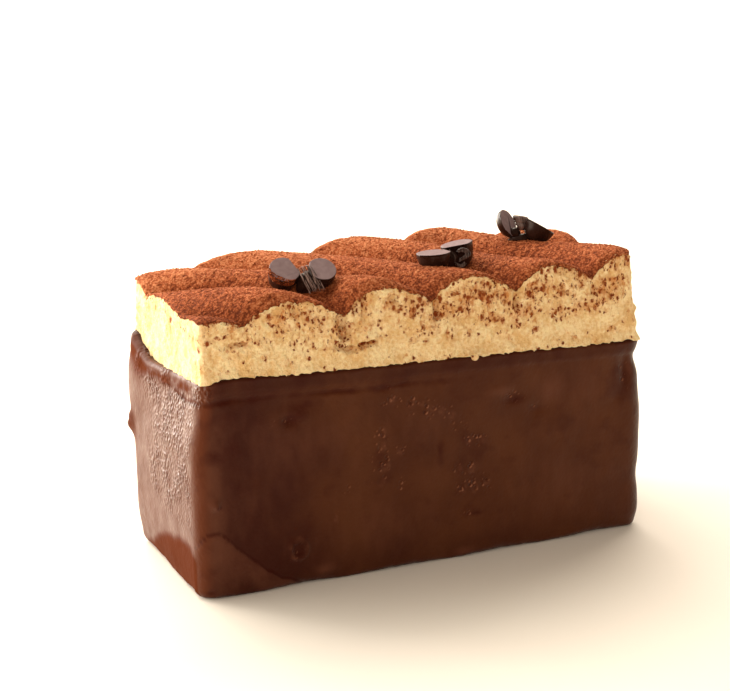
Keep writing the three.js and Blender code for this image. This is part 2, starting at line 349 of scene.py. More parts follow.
def coffeeCream():
    # aerated coffee cream, cut cold with a knife: matte, crumbly, softly see-through, with cocoa and ground
    # coffee dragged into it, most of it just under the top
    look = creamLook
    material, tree, spot = newMaterial("coffeeCream")
    smeared, crust = [addNode(tree, "Attribute", {}, attribute_name=name).outputs["Fac"]
                      for name in creamPaints]
    noises = []
    for size, detail, roughness, drawn in look["noises"]:
        vector = addNode(tree, "Mapping", {"Vector": spot, "Scale": (1, 1, drawn)})
        noises.append(addNode(tree, "TexNoise", {
            "Vector": vector, "Scale": 1 / (size * mm), "Detail": detail, "Roughness": roughness}))
    crumb, cloud, veil, dab, fleck, jitter = noises

    def above(value, paint, bare, full):
        # how far a value stands over a threshold that goes from bare to full with the paint
        threshold = addNode(tree, "MapRange", [paint, 0, 1, bare, full], clamp=False)
        return addNode(tree, "Math", [value, threshold], operation="SUBTRACT")

    lumpy = addNode(tree, "Math", [crumb, cloud], operation="ADD")
    tone = laid(tree, look["coffee"], look["pale"], lumpy, 0.82, 1.16)
    # smears: colour, noise, its threshold where bare and where smeared, how softly it starts, strongest tint
    for colour, value, bare, full, soft, most in (
            ("haze", veil, 0.66, 0.32, 0.35, 0.3), ("halo", dab, 0.62, 0.52, 0.12, 0.65),
            ("stain", fleck, 0.8, 0.61, 0.07, 0.8)):
        tone = laid(tree, tone, look[colour], above(value, smeared, bare, full), 0, soft, most)
    # specks of ground coffee: only some cells, more where it is smeared, hold one, with a stain round it
    dragged = addNode(tree, "Mapping", {"Vector": spot, "Scale": (1, 1, look["dragged"])})
    bent = addNode(tree, "VectorMath", {
        0: jitter.outputs["Color"], 1: look["bend"], 2: dragged}, operation="MULTIPLY_ADD")
    for size, colour, bare, full in (("lump", "stain", 1, 0.36), ("grit", "speck", 0.95, 0.3)):
        cells = addNode(tree, "TexVoronoi", {"Vector": bent, "Scale": 1 / (look[size] * mm)})
        held = addNode(tree, "MapRange", [above(cells.outputs["Color"], smeared, bare, full), 0, 0.02])
        for shade, inner, outer, most in (("halo", 0.25, 0.75, 0.4), (colour, 0.24, 0.42, 1)):
            near = addNode(tree, "MapRange", [cells, inner, outer, most, 0])
            speck = addNode(tree, "Math", [near, held], operation="MULTIPLY")
            tone = laid(tree, tone, look[shade], speck)
    tone = laid(tree, tone, cocoaLook["mid"], above(crumb, crust, 0.95, 0.3), 0, 0.08, 0.9)
    pores = addNode(tree, "TexVoronoi", {"Vector": spot, "Scale": 1 / (look["pore"] * mm)})
    return closeMaterial(material, [(0.6, 0.16, pores), (1, 0.55, crumb)], {
        "Base Color": tone, "Roughness": 0.7, "IOR": 1.4, "Specular IOR Level": 0.3,
        "Subsurface Weight": 0.2, "Subsurface Radius": (1, 0.6, 0.3), "Subsurface Scale": 0.8 * mm})


def siftedCocoa():
    # cocoa powder, sifted: dry and matte, clumped in half-millimetre grains. Painted shade darkens the gaps
    # between them and the low parts, and painted light makes the clump tops paler. Real grains are finer, and
    # these are as coarse as they need to be to show
    look = cocoaLook
    material, tree, spot = newMaterial("siftedCocoa")
    drift = addNode(tree, "TexNoise", {"Vector": spot, "Scale": 1 / (look["drift"] * mm), "Detail": 3})
    clump = addNode(tree, "TexNoise", {"Vector": spot, "Scale": 1 / (look["clump"] * mm), "Detail": 4})
    grain = addNode(tree, "TexVoronoi", {"Vector": spot, "Scale": 1 / (look["grain"] * mm)})
    paleAndLit = addNode(tree, "Attribute", {}, attribute_name="paleAndLit").outputs["Fac"]
    # painted light and shade: the colour follows height, dark in the gaps and low parts and pale on top
    height = addNode(tree, "Mix", {0: 0.45, 2: clump, 3: paleAndLit})
    gapShade = addNode(tree, "MapRange", [grain, 0.3, 0.75, 0.06, -0.16])
    height = addNode(tree, "Math", [height, gapShade], operation="ADD")
    tone = laid(tree, look["deep"], look["mid"], height, 0.3, 0.54)
    tone = laid(tree, tone, look["dryAndLit"], height, 0.52, 0.85)
    tone = laid(tree, tone, look["deep"], drift, 0.5, 0.8, 0.25)
    return closeMaterial(material, [(0.8, -0.2, grain), (1, 0.36, clump)], {
        "Base Color": tone, "Roughness": 0.95, "IOR": 1.45, "Specular IOR Level": 0.15})


beanLook = {
    "side": "#170a06", "sideWorn": "#33201a", "face": "#6f5a5b", "faceBloom": "#917f81",
    "torn": "#2c1b16", "tornPaleHighlight": "#a98e85",
    "rubbed": 1.6, "bloom": 1.2, "grit": 0.35, "strand": 0.9,    # sizes in millimetres
}


def mouldedChocolate():
    # moulded and tempered chocolate: nearly black, smooth and glossy, with rubbed patches
    look = beanLook
    material, tree, spot = newMaterial("mouldedChocolate")
    rubbed = addNode(tree, "TexNoise", {"Vector": spot, "Scale": 1 / (look["rubbed"] * mm), "Detail": 4})
    return closeMaterial(material, [(0.5, 0.1, rubbed)], {
        "Base Color": laid(tree, look["side"], look["sideWorn"], rubbed),
        "Roughness": addNode(tree, "MapRange", [rubbed, 0.3, 0.7, 0.2, 0.38]), "IOR": 1.5,
        "Specular IOR Level": 0.45, "Specular Tint": (0.5, 0.42, 0.38, 1)})


def snappedChocolate():
    # the snapped face of a bean: flat, matte and greyed by bloom
    look = beanLook
    material, tree, spot = newMaterial("snappedChocolate")
    bloom = addNode(tree, "TexNoise", {"Vector": spot, "Scale": 1 / (look["bloom"] * mm), "Detail": 5})
    grit = addNode(tree, "TexNoise", {"Vector": spot, "Scale": 1 / (look["grit"] * mm), "Detail": 4})
    return closeMaterial(material, [(0.4, 0.06, grit)], {
        "Base Color": laid(tree, look["face"], look["faceBloom"], bloom), "Roughness": 0.55,
        "IOR": 1.5, "Specular IOR Level": 0.1, "Specular Tint": (0.6, 0.5, 0.45, 1)})


def tornChocolate():
    # the torn hinge of a bean: glossy strands, pale where they were stretched, and that pale colour is also
    # a painted highlight along them
    look = beanLook
    material, tree, spot = newMaterial("tornChocolate")
    drawn = addNode(tree, "Mapping", {"Vector": spot, "Scale": (2.4, 0.25, 0.25)})
    lines = addNode(tree, "TexNoise", {"Vector": drawn, "Scale": 1 / (look["strand"] * mm), "Detail": 3})
    pale = addNode(tree, "MapRange", [lines, 0.42, 0.7])
    paleAndHighlit = addNode(tree, "Attribute", {}, attribute_name="paleAndHighlit").outputs["Fac"]
    pale = addNode(tree, "Math", [pale, paleAndHighlit], operation="MULTIPLY")
    return closeMaterial(material, [], {
        "Base Color": laid(tree, look["torn"], look["tornPaleHighlight"], pale),
        "Roughness": 0.22, "IOR": 1.5, "Specular IOR Level": 0.7})


chocolate = darkCoatingChocolate()
cream = coffeeCream()
cocoa = siftedCocoa()
beanMaterials = [mouldedChocolate(), snappedChocolate(), tornChocolate()]
print("materials made")

coat = {
    "grid": (224, 64, 98), "cornerLines": 6,
    "bulge": 0.2, "bulgeHigh": 3.6,    # how far the rim stands out over the rest, and how high that part is
    "leftLip": 0.9,    # the round of the left end's top edge
    "tuck": 1.9,    # how far the left end leans in at its top
    "crease": 4.4,    # how far the crease lies under the rim
    "frontCrease": (0.12, 0.42), "otherCrease": (0.05, 0.12),    # step out over the crease, and its depth
    # how the skin wavers: how far, size of the waves in millimetres, scale along the height
    "waver": [(0.16, 11, 1), (0.06, 3.2, 0.6)],
    "ring": (-28.1, 7.9),    # middle of the ring-shaped mark on the front
    # a second lick of chocolate at the front foot: x and z along its top edge
    "lap": [(-49.5, 10), (-48, 12.8), (-46.4, 13.9), (-44, 13.2), (-41.5, 10.6), (-38, 7.2), (-35, 4.7),
            (-32, 2.6), (-28, 0.6), (-24, -2)],
    # swellings, dents and small marks of each side: place along the side, z, width, height, how far out.
    # The last two of the left end are a hanging drop
    "relief": {
        "left": [
            (17, 45, 14, 3.5, -0.5), (18, 35, 9, 9, 0.9), (8, 0, 18, 5, -1.1), (18.6, 25.8, 1.3, 1.6, 1.5),
            (17.2, 28, 1.2, 1, 0.7)],
        "right": [
            (-19, 37, 6, 2.6, -1), (-18, 24, 9, 7, 0.35), (-18, 11.5, 8, 2.8, -0.4), (-10, 0, 20, 2.5, -1),
            (8, 28, 10, 8, 0.3), (6, 33, 1.4, 1.2, -0.4), (12, 7, 1.8, 1.4, 0.35), (-3, 1.2, 2.5, 0.9, 0.35)],
        "front": [
            (-41, 7, 5.5, 6.5, 0.2), (-29, 39, 6, 2, -0.4), (-8, 20, 15, 12, 0.25), (27, 32, 8, 6, -0.3),
            (-29.4, 35.2, 1.5, 1, -0.75), (-31.2, 34.6, 1.2, 0.8, 0.18), (-27.2, 35.8, 1.4, 0.7, 0.16),
            (-9.1, 38.9, 1.3, 0.7, -0.35), (19.2, 32.4, 2.2, 1.1, -0.4), (25.1, 29.4, 2, 1, -0.38),
            (16.4, 34.9, 2.6, 1, 0.22), (22, 31.5, 2, 0.8, 0.16), (44.9, 34.4, 1.1, 3.2, -0.6),
            (43.1, 29.5, 1.2, 1.4, -0.25), (-45.3, 19.9, 0.8, 0.7, 1.3), (3.1, 25.7, 1.6, 1.6, -0.15),
            (-22.4, 2.4, 1.8, 1, 0.3), (8, 1, 2.4, 0.9, 0.35), (-46.9, 1.6, 0.9, 0.7, -0.5),
            (32.5, 1.2, 3, 0.8, 0.3), (-7, 0.8, 3.2, 0.8, 0.25)],
        "back": [
            (10, 25, 17, 12, 0.35), (-22, 34, 9, 5, -0.3), (34, 14, 9, 6, -0.25), (-35, 12, 10, 7, 0.3),
            (12, 36, 1.6, 1, -0.4), (-18, 9, 1.5, 1.2, 0.35), (31, 27, 1.3, 1.6, -0.35),
            (-30, 1.5, 3, 1, 0.35), (5, 1.2, 4, 0.9, 0.3)],
    },
    # burst bubbles on the front: x, z, radius
    "bubbles": [
        (-9.7, 30, 0.7), (-10, 27.1, 0.8), (-9.3, 22.7, 0.9), (-10.2, 19.7, 0.7), (-5.9, 25.6, 0.5),
        (5.6, 31.5, 0.6), (9.3, 25.6, 0.7), (12, 24.9, 0.6), (9.9, 19, 0.6), (6.8, 19.5, 0.7), (8, 15.4, 0.6),
        (10.5, 14.8, 0.7), (13.2, 15.9, 0.6), (-20.2, 13.4, 0.5), (-7.6, 36.5, 0.6), (-3.3, 35.2, 0.7),
        (1, 33.2, 0.6), (-1, 34.6, 0.5), (3.2, 32.6, 0.5)],
    # clusters of bubbles for the skin: x, z, width, height, amount
    "blisters": [
        (-8, 36.4, 2.4, 1, 0.7), (-3.2, 35.6, 2.6, 1.3, 0.9), (0, 33.2, 2.6, 1.6, 1),
        (5.8, 31.4, 1.6, 1.5, 0.8), (-10, 28.6, 1.2, 2, 1), (-9.8, 23.4, 1.7, 2.6, 1),
        (-10.3, 19.8, 1.4, 1.3, 0.9), (-5.6, 25.6, 1.2, 0.8, 0.8), (-4.8, 17.6, 1.2, 2, 0.8),
        (7.2, 28.2, 1.6, 1.2, 0.8), (10.6, 25.2, 2.2, 1.3, 1), (9.4, 19.6, 1.3, 1.6, 0.9),
        (6.8, 19.2, 1.2, 1, 0.8), (9.4, 15.2, 2.6, 1.2, 1), (13, 15.6, 1.2, 1.6, 1), (-30, 35, 3, 1.6, 0.3),
        (-8.8, 39.3, 1.6, 0.8, 0.7), (19.4, 33, 2.6, 1.4, 0.5), (-28.6, 7.4, 2.4, 2.4, 0.25),
        (-17.4, 19, 0.8, 0.8, 0.8), (-19.6, 13.4, 1, 0.8, 0.8), (10.8, 9.4, 2.6, 0.8, 0.6),
        (25.4, 29.4, 2.2, 1.2, 0.5), (44.6, 33.5, 1.4, 3, 0.5)],
    # stains and bloom on the front: x, z, width, height, amount. The tall bloom beside the left corner and
    # the blooms at (17, 34.6) and (-45.7, 20.3) are painted highlights, and the stain at (-44.8, 19.5) is
    # painted shade on a drop's lower side
    "maroon": [
        (-28.4, 35.6, 2.6, 1.4, 1.1), (-44, 29.6, 3.4, 2, 0.8), (-25.5, 37.8, 5.5, 1, 0.6),
        (-8.9, 39.1, 2.6, 0.9, 1), (3, 23.6, 0.8, 2.8, 0.9), (-28.3, 7.4, 2.2, 2.2, 0.6),
        (-44.8, 19.5, 0.7, 0.6, 1.5), (10.7, 9.2, 1.9, 0.5, 0.8), (20, 32.2, 2.8, 1, 1),
        (25.2, 29.6, 2.4, 0.9, 0.6), (43.9, 32.5, 2.6, 4.2, 0.9), (-46.6, 1.6, 0.9, 0.7, 0.9),
        (30, 26, 4, 3, 0.5), (40, 17, 4, 6, 0.3), (-44.5, 36, 5, 4, 0.5), (-40, 4, 6, 4, 0.3),
        (47, 20, 1.5, 9, 0.3), (-10, 24.5, 2, 6, 0.4), (9.5, 21, 3.5, 8, 0.4), (-36, 14.5, 4, 2, 0.3)],
    "bloom": [
        (-31, 27.5, 8, 5, 0.35), (-35, 34, 4, 2.5, 0.3), (-46, 24, 2.6, 20, 1), (-20, 31, 8, 4, 0.3),
        (-40, 18, 6, 5, 0.25), (-45.7, 20.3, 0.5, 0.5, 2), (-10, 10, 10, 5, 0.4), (17, 34.6, 3, 1, 0.8),
        (30, 12, 9, 6, 0.35), (-22.4, 2.8, 2, 1, 0.8), (8.2, 1.4, 2.6, 1, 0.8), (28, 33, 3, 3, 0.8),
        (36, 33, 4, 5, 0.4), (46.2, 35, 0.8, 1.6, 1.2), (-44, 3, 4, 4, 0.4), (0, 30, 6, 4, 0.3)],
}
sideLines = {"left": (-halfLength, 0, 0, 1), "right": (halfLength, 0, 0, 1),
             "front": (0, -halfWidth, 1, 0), "back": (0, halfWidth, 1, 0)}
coatRelief = [(sx + wayX * along, sy + wayY * along, *rest)
              for side, (sx, sy, wayX, wayY) in sideLines.items() for along, *rest in coat["relief"][side]]


def lapEdge(x):
    # the top of the second lick of chocolate at the front foot
    line = coat["lap"]
    i = clamp(bisect.bisect_right(line, (x, math.inf)), 1, len(line) - 1)
    (x0, z0), (x1, z1) = line[i - 1], line[i]
    share = clamp((x - x0) / (x1 - x0))
    return mix(z0, z1, share) + 0.3 * math.sin(math.pi * share) + 0.25 * rough(x, 0, 7, 3, 2)


def crease(x, y, rim):
    # the crease under the rim runs round the front and the left end, and fades to the right
    under = rim - coat["crease"] * (1 - 0.6 * smooth((y + 12) / 16)) + 0.4 * rough(x, y, 3, 9)
    fade = smooth((14 - x) / 20) * (1 - smooth((y + 2) / 8))
    return under, fade * clamp(0.75 + 0.9 * rough(x, y, 0, 6, 2))


def bubblesNear(x, z):
    # distance from each burst bubble close by, and how far a point is below and right of it, in its radii
    for bx, bz, radius in coat["bubbles"]:
        apart = math.hypot(x - bx, z - bz) / radius
        if apart < 2.2:
            yield apart, (x - bx - z + bz) / radius


def coatOut(x, y, z, rim):
    # how far the skin stands out
    out = coat["bulge"] * (smooth((z - (rim - coat["bulgeHigh"])) / 1.2) - 1)
    for sx, sy, sz, wide, high, amount in coatRelief:
        if abs(x - sx) < 2.5 * wide and abs(z - sz) < 2.5 * high:
            out += amount * bell(math.hypot(x - sx, y - sy) / wide, (z - sz) / high)
    if y < 4 - halfWidth:
        for apart, _ in bubblesNear(x, z):
            out += 0.16 * bell((apart - 1.2) / 0.4) - 0.3 * bell(apart / 0.8)
        ringed = math.hypot(x - coat["ring"][0], z - coat["ring"][1])
        out += 0.5 * bell((ringed - 1.9) / 0.45) - 0.3 * bell(ringed / 1.2)
        within = lapEdge(x) - z
        out += 0.16 * smooth(within / 0.4) - 0.12 * bell((within + 0.25) / 0.3)
    under, fade = crease(x, y, rim)
    step, deep = coat["frontCrease"] if y < 1 - halfWidth else coat["otherCrease"]
    out += fade * (step * smooth((z - under) / 0.5) - deep * bell((z - under) / 0.55))
    return out + sum(much * rough(x, y, z * scale, size, 2) for much, size, scale in coat["waver"])


def coatPaint(x, y, z, rim):
    # the values of coatPaints. Painted shade darkens the crease and the thin line just under the cream, and
    # the skin is darker and redder in a band under the rim
    below = rim - z
    under, fade = crease(x, y, rim)
    pebble, blister, bloom = 0.05, 0, 0
    maroon = 1.1 * fade * bell((z - under + 0.2) / 0.75) + 0.3 * smooth((4 - below) / 1.5)
    if x < -46.5:
        # a pebbled band across the left end, and crumbs just under its rim
        band = smooth((y + 17.5) / 4) * (1 - smooth((y - 3) / 8)) * smooth((z - 12) / 6)
        band *= smooth((below - 2.2) / 1.4) * clamp(0.55 + 1.2 * rough(x, y, z, 5, 2), 0.15, 1.1)
        crumbs = 0.5 * smooth(rough(x, y, z, 5) / 0.5) * (1 - smooth((below - 4) / 2))
        pebble += smooth((-46.6 - x) / 0.8) * (band + crumbs)
    if y < 3 - halfWidth:
        blister = max(dabs(x, z, coat["blisters"]), default=0)
        maroon += sum(dabs(x, z, coat["maroon"]))
        bloom = sum(dabs(x, z, coat["bloom"]))
        # painted highlight on the lower right edge of each burst bubble
        for apart, lower in bubblesNear(x, z):
            bloom += 1.5 * bell((apart - 1) / 0.45) * smooth(0.35 + 0.5 * lower)
        within = lapEdge(x) - z
        # painted shade along the lap's top edge, in its groove
        maroon += 1.1 * bell((within + 0.15) / 0.3)
        bloom += 0.7 * smooth(within / 0.6) * (1 - smooth((within - 3) / 5))
        ringed = math.hypot(x - coat["ring"][0], (z - coat["ring"][1]) * 0.85)
        bloom += bell((ringed - 1.8) / 0.35) * clamp(0.55 + 1.5 * rough(x, 3, z, 1.6, 2))
    tone = mix(0.5 * smooth(y / 10), 0.75, smooth((x + 40) / 26))
    tone -= 0.25 * smooth((9 - z) / 8) + 0.35 * smooth((4 - below) / 2)
    # painted light: the left end, which faces the key light, is a lighter brown. It is dull at its foot and,
    # in patches, under its rim
    warm, end = smooth((-45.6 - x) / 3.2), smooth((-48.9 - x) / 0.4)
    # painted reflection: below this edge the left end's foot gets an orange-brown tint and a dull finish
    reflectionEdge = 11.3 - (0.0125 if y > -13.5 else 0.09) * (y + 13.5) ** 2 + 0.7 * rough(x, y, z, 4)
    dull = smooth((y + 17) / 5) * bell((below - 2) / 1.5) * clamp(0.8 + 0.9 * rough(x, y, z, 1.8, 3))
    dull += 0.7 * bell((y - 14) / 4, (below - 4) / 2.5) + 0.8 * fade * bell((z - under) / 0.35)
    dull += smooth((reflectionEdge - z) / 2.4) + 0.9 * bell((y - 18.5) / 2.5, (z - 27) / 3.5)
    # painted shade: the thin dark line just under the cream, fainter at the left end
    shaded = (0.9 - 0.7 * end) * smooth((0.6 - below) / 0.5)
    return clamp(pebble), blister, clamp(tone), clamp(maroon), clamp(bloom), warm, end * clamp(dull), shaded


def makeCoat():
    block = gridBlock(coat["grid"])
    paints = [block.verts.layers.float.new(name) for name in coatPaints]
    for v in block.verts:
        u, w, t = v.co
        x, y, outX, outY = roundedPlan(
            u, w, coat["grid"], halfLength, halfWidth, gateau["corner"], coat["cornerLines"])
        rim = rimHeight(x, y) + 0.22 * rough(x, y, 0, 3.5) + 0.12 * rough(x, y, 5, 0.9)
        # rows lie closer together at the foot and under the rim
        share = (t + 1) / 2
        z = (share - 0.8 * math.sin(2 * math.pi * share) / (2 * math.pi)) * rim
        foot = gateau["foot"] * (1 + 0.35 * math.sin(x * 0.29) * math.cos(y * 0.17))
        foot += 0.25 * rough(x, y, 9, 2.5)
        lip = mix(gateau["lip"], coat["leftLip"], smooth((-46 - x) / 3) * smooth((y + 16) / 18))
        out = coatOut(x, y, z, rim) + edgeRound(foot, z) + edgeRound(lip, rim - z)
        for paint, value in zip(paints, coatPaint(x, y, z, rim)):
            v[paint] = value
        if not onSides(u, w):
            outX, outY = (x / halfLength) ** 3, (y / halfWidth) ** 3
        # the left end leans in under the cream, most of all at the front corner
        tuck = coat["tuck"] * smooth((z - (rim - 16)) / 16) * smooth((-x - 43) / 5)
        tuck *= 1 - smooth((y + 12) / 28)
        v.co = (x + outX * out + tuck, y + outY * out, z)
    finishPiece("chocolateCoat", block, [chocolate], ["chocolate_block"])


makeCoat()

creamCut = {
    "grid": (270, 100, 48), "cornerLines": 3,
    "inCoat": 0.4, "underCocoa": 0.4,    # how far its foot is sunk in the coat, and its top in the cocoa
    "waver": 0.18,    # how far its walls wander
    "crumble": 0.28, "pore": 0.22, "flare": 0.45,    # how far the cut face is torn, pitted, and flared below
    # hollows where the knife tore the cream: x, z, width, height, depth
    "tears": [
        (-17.3, 53.8, 0.8, 2.2, 1.2), (-16.6, 51.2, 1, 1.1, 1.4), (-17.8, 48.9, 1, 0.7, 1.2),
        (-15.6, 48, 1.2, 0.6, 1.4), (-12.7, 48.4, 1.2, 0.5, 1.1), (-10.6, 48.6, 0.9, 0.5, 1.1),
        (-12.6, 56.3, 0.5, 2.6, 0.7), (-14.2, 57, 0.5, 1.8, 0.6), (-39.6, 52.3, 1.8, 0.4, 0.7),
        (3, 54.4, 0.6, 2, 0.8), (3.3, 52.3, 0.7, 0.8, 0.9), (20.8, 53.6, 0.6, 1.8, 0.8),
        (38, 53.6, 0.5, 1.4, 0.5), (-6.2, 57.2, 0.8, 0.6, 0.6), (-27.2, 57.6, 0.6, 1.2, 0.4)],
    # where cocoa is smeared over the cut face: x, z, width, height, amount
    "smears": [
        (-33.5, 57, 2, 0.8, 0.7), (-30.5, 55.4, 1.4, 1, 0.8), (-28, 54, 1.4, 1, 0.9),
        (-35.5, 53, 1.8, 0.8, 0.6), (-34, 49.1, 1.6, 0.7, 0.9), (-28.3, 46.8, 1, 0.8, 1.1),
        (-25.5, 47.6, 1.4, 0.6, 0.7), (-22.5, 49.4, 2, 0.7, 0.9), (-39.6, 52.4, 2, 0.4, 1),
        (-42.5, 54, 2, 0.6, 0.5), (-41.7, 47.1, 0.5, 0.4, 1.2), (-26, 56.6, 5, 1.6, 0.45),
        (-25, 52.4, 4, 2, 0.4), (-17.8, 53, 1.2, 2, 1.2), (-16.4, 50.8, 1.2, 1.4, 1.4),
        (-15, 48, 2.6, 0.7, 1.5), (-11.5, 48.4, 2, 0.6, 1.4), (-12.3, 56.6, 1, 2, 0.9),
        (-7.6, 57.2, 1.4, 0.9, 0.7), (-4.4, 54.6, 1.4, 2.6, 0.7), (-1.9, 56, 0.9, 0.9, 0.8),
        (3.4, 54, 0.9, 2.6, 1.1), (9, 54.4, 1.8, 1.8, 0.8), (12.6, 56, 2, 1.2, 0.5),
        (14.6, 52.8, 1.2, 1.4, 0.9), (16.2, 50.6, 1.3, 1.2, 0.7), (20.7, 53.4, 0.7, 2, 0.9),
        (21.2, 50.8, 1, 1, 0.8), (26.4, 55.4, 2.4, 1, 0.9), (31.5, 53.4, 2.8, 1, 0.7),
        (29.5, 50.6, 3.4, 1.6, 0.45), (38, 50.4, 1.1, 0.7, 1), (41.5, 52.8, 2.4, 1.8, 0.6),
        (21.6, 47.9, 1.2, 0.6, 0.8), (24.2, 46.3, 1.2, 0.8, 1), (18.2, 45.3, 1, 0.7, 0.6),
        (34, 43.5, 0.8, 0.5, 0.8), (41.6, 44.2, 1, 0.7, 0.8), (-1.6, 47.8, 1, 0.6, 0.7)],
    # the same on the left end: y, z, width, height, amount
    "leftSmears": [
        (12.6, 54.4, 1.8, 1, 1.1), (-0.5, 55.5, 1.2, 1.2, 1), (-2.5, 53.8, 0.9, 1.8, 1.1),
        (-11.5, 53.8, 1.6, 0.5, 1.1), (-15, 53.7, 1.4, 0.4, 1.1), (6.6, 53.3, 0.5, 0.5, 1.1),
        (-8.5, 46.9, 0.4, 0.4, 1.1), (-18.7, 50, 0.8, 5, 0.6), (7, 57.5, 4, 0.8, 0.5)],
    "crumb": (-18, 47.4, 1.2, 1, 1),    # a crumb on the right end: y, z, width, height, how far out
}


def leanAt(z):
    # how far the right end leans in at a height
    return gateau["creamLean"] * (z - gateau["join"]) / (gateau["crest"] - gateau["join"])


def creamPlan(u, w, counts, z):
    x, y, outX, outY = roundedPlan(
        u, w, counts, creamHalfLength, creamHalfWidth, gateau["creamCorner"], creamCut["cornerLines"])
    share = (z - gateau["join"]) / (gateau["crest"] - gateau["join"])
    waver = creamCut["waver"] * math.sin(x * 0.33 + share * 3) * math.cos(y * 0.4 + share * 5)
    return x - leanAt(z) * smooth(x / creamHalfLength) + gateau["creamShift"], y, outX, outY, waver


def creamOut(x, y, z, outX, outY):
    # torn and porous cut face: fine crumble, air holes, and upright drag marks of the knife
    out = creamCut["crumble"] * rough(x, y, z * 0.7, 1.4, 4) + 0.1 * rough(x, y, z * 0.35, 0.9, 2)
    if noise.noise(Vector((x, y, z)) / 4) > -0.05:
        near = noise.voronoi(Vector((x, y, z * 0.8)) / 1.5)[0][0]
        out -= creamCut["pore"] * smooth((0.4 - near) / 0.35)
    if outY < -0.5:
        for tx, tz, wide, high, depth in creamCut["tears"]:
            for torn in dabs(x, z, [(tx, tz, wide, high, 1)], 3):
                ragged = 1 + 0.6 * rough(x, y, z, 0.8, 3)
                out -= 1.3 * depth * smooth(1.6 * torn * ragged)
    if outX > 0.5:
        out += sum(dabs(y, z, [creamCut["crumb"]]))
    return out


def creamPaint(x, y, z, bottom, top, outX, outY):
    # the values of creamPaints: how much cocoa is smeared into the cream, and how near the cocoa on top is
    high = (z - bottom) / (top - bottom)
    spot = Vector((x, y, z))
    patch = clamp(0.55 + 1.1 * noise.noise(spot / 3.2) + 0.5 * noise.noise(spot / 1.3))
    smeared = mix(0.2, 0.84, smooth(1.6 * high - 0.25)) * mix(0.82, 1.25, smooth((x + 42) / 75))
    smeared *= 0.3 + patch
    if outY < -0.5:
        smeared += sum(dabs(x, z, creamCut["smears"], 2.2)) * (0.35 + patch)
    if outX < -0.5:
        smeared = 0.08 * smeared + sum(dabs(y, z, creamCut["leftSmears"]))
    under = top - z + 0.5 * rough(x, y, z * 0.4, 1.6, 2)
    return clamp(smeared, 0, 1.25), 1 - smooth(under / 1.1) if abs(outX) + abs(outY) > 0.5 else 1


def makeCream():
    block = gridBlock(creamCut["grid"])
    paints = [block.verts.layers.float.new(name) for name in creamPaints]
    for v in block.verts:
        u, w, t = v.co
        guess = mix(gateau["join"], gateau["crest"] - 3, (t + 1) / 2)
        x, y, *_ = creamPlan(u, w, creamCut["grid"], guess)
        bottom, top = rimHeight(x, y) - creamCut["inCoat"], ropeTop(x, y) - creamCut["underCocoa"]
        z = mix(bottom, top, (t + 1) / 2)
        x, y, outX, outY, waver = creamPlan(u, w, creamCut["grid"], z)
        if onSides(u, w):
            for paint, value in zip(paints, creamPaint(x, y, z, bottom, top, outX, outY)):
                v[paint] = value
            out = waver + creamOut(x, y, z, outX, outY) - 0.25 * smooth(1 - (top - z) / 0.5)
            out += creamCut["flare"] * smooth(1 - (z - bottom) / 2.2) * (1 if abs(outY) > 0.5 else 0.3)
            x, y = x + outX * out, y + outY * out
        v.co = (x, y, z)
    finishPiece("cutCoffeeCream", block, [cream], ["coffee_cream"])


makeCream()

drops = {
    # small loose bits of cream: middle and radii
    "bits": [((10.9, -20.7, 42.9), (0.85, 0.45, 0.85)), ((11.9, -20.5, 43.5), (0.5, 0.3, 0.3)),
             ((39.9, -18.2, 57.9), (0.5, 0.3, 0.3)), ((27.8, -18, 58.9), (0.3, 0.25, 0.2))],
    "stain": 1.2, "stainedBelow": 43.3,    # cocoa smeared into the underside of the hanging ones
}


def makeDrops():
    # cream pressed out over the rim in a stained drop, and crumbs on the cocoa
    block = bmesh.new()
    smeared = block.verts.layers.float.new("smeared")
    for middle, radii in drops["bits"]:
        spot = Matrix.Translation(middle) @ Matrix.Diagonal((*radii, 1))
        made = bmesh.ops.create_icosphere(block, subdivisions=4, radius=1, matrix=spot)
        for v in made["verts"]:
            v[smeared] = drops["stain"] if v.co.z < drops["stainedBelow"] else 0
    finishPiece("creamDrops", block, [cream])


makeDrops()

dusting = {
    "grid": (330, 140, 1), "thick": 0.7, "clump": 0.12,
    "grains": 6500, "flecks": 260, "spill": 500,    # how many lie on top, stick to the cut walls, and spilled
    "grainsFrom": -46.5, "grainsTo": 45.3,    # x of the first and the last that lie on top
    "seeds": (11, 5),    # of the grains and of the flecks
}


def cocoaHeight(x, y, inwards=9):
    # the ropes' top under a layer of clumped powder, softened in the valleys and thin at the cut edges
    soft = (ropeTop(x - 0.35, y) + ropeTop(x + 0.35, y) + 2 * ropeTop(x, y)) / 4
    clump = rough(x, y, 0, 0.95, 2)
    thin = 0.32 * (1 - smooth(inwards / 0.9))
    return soft + dusting["clump"] * clump + 0.07 * rough(x, y, 4, 3.5, 2) - thin, clump


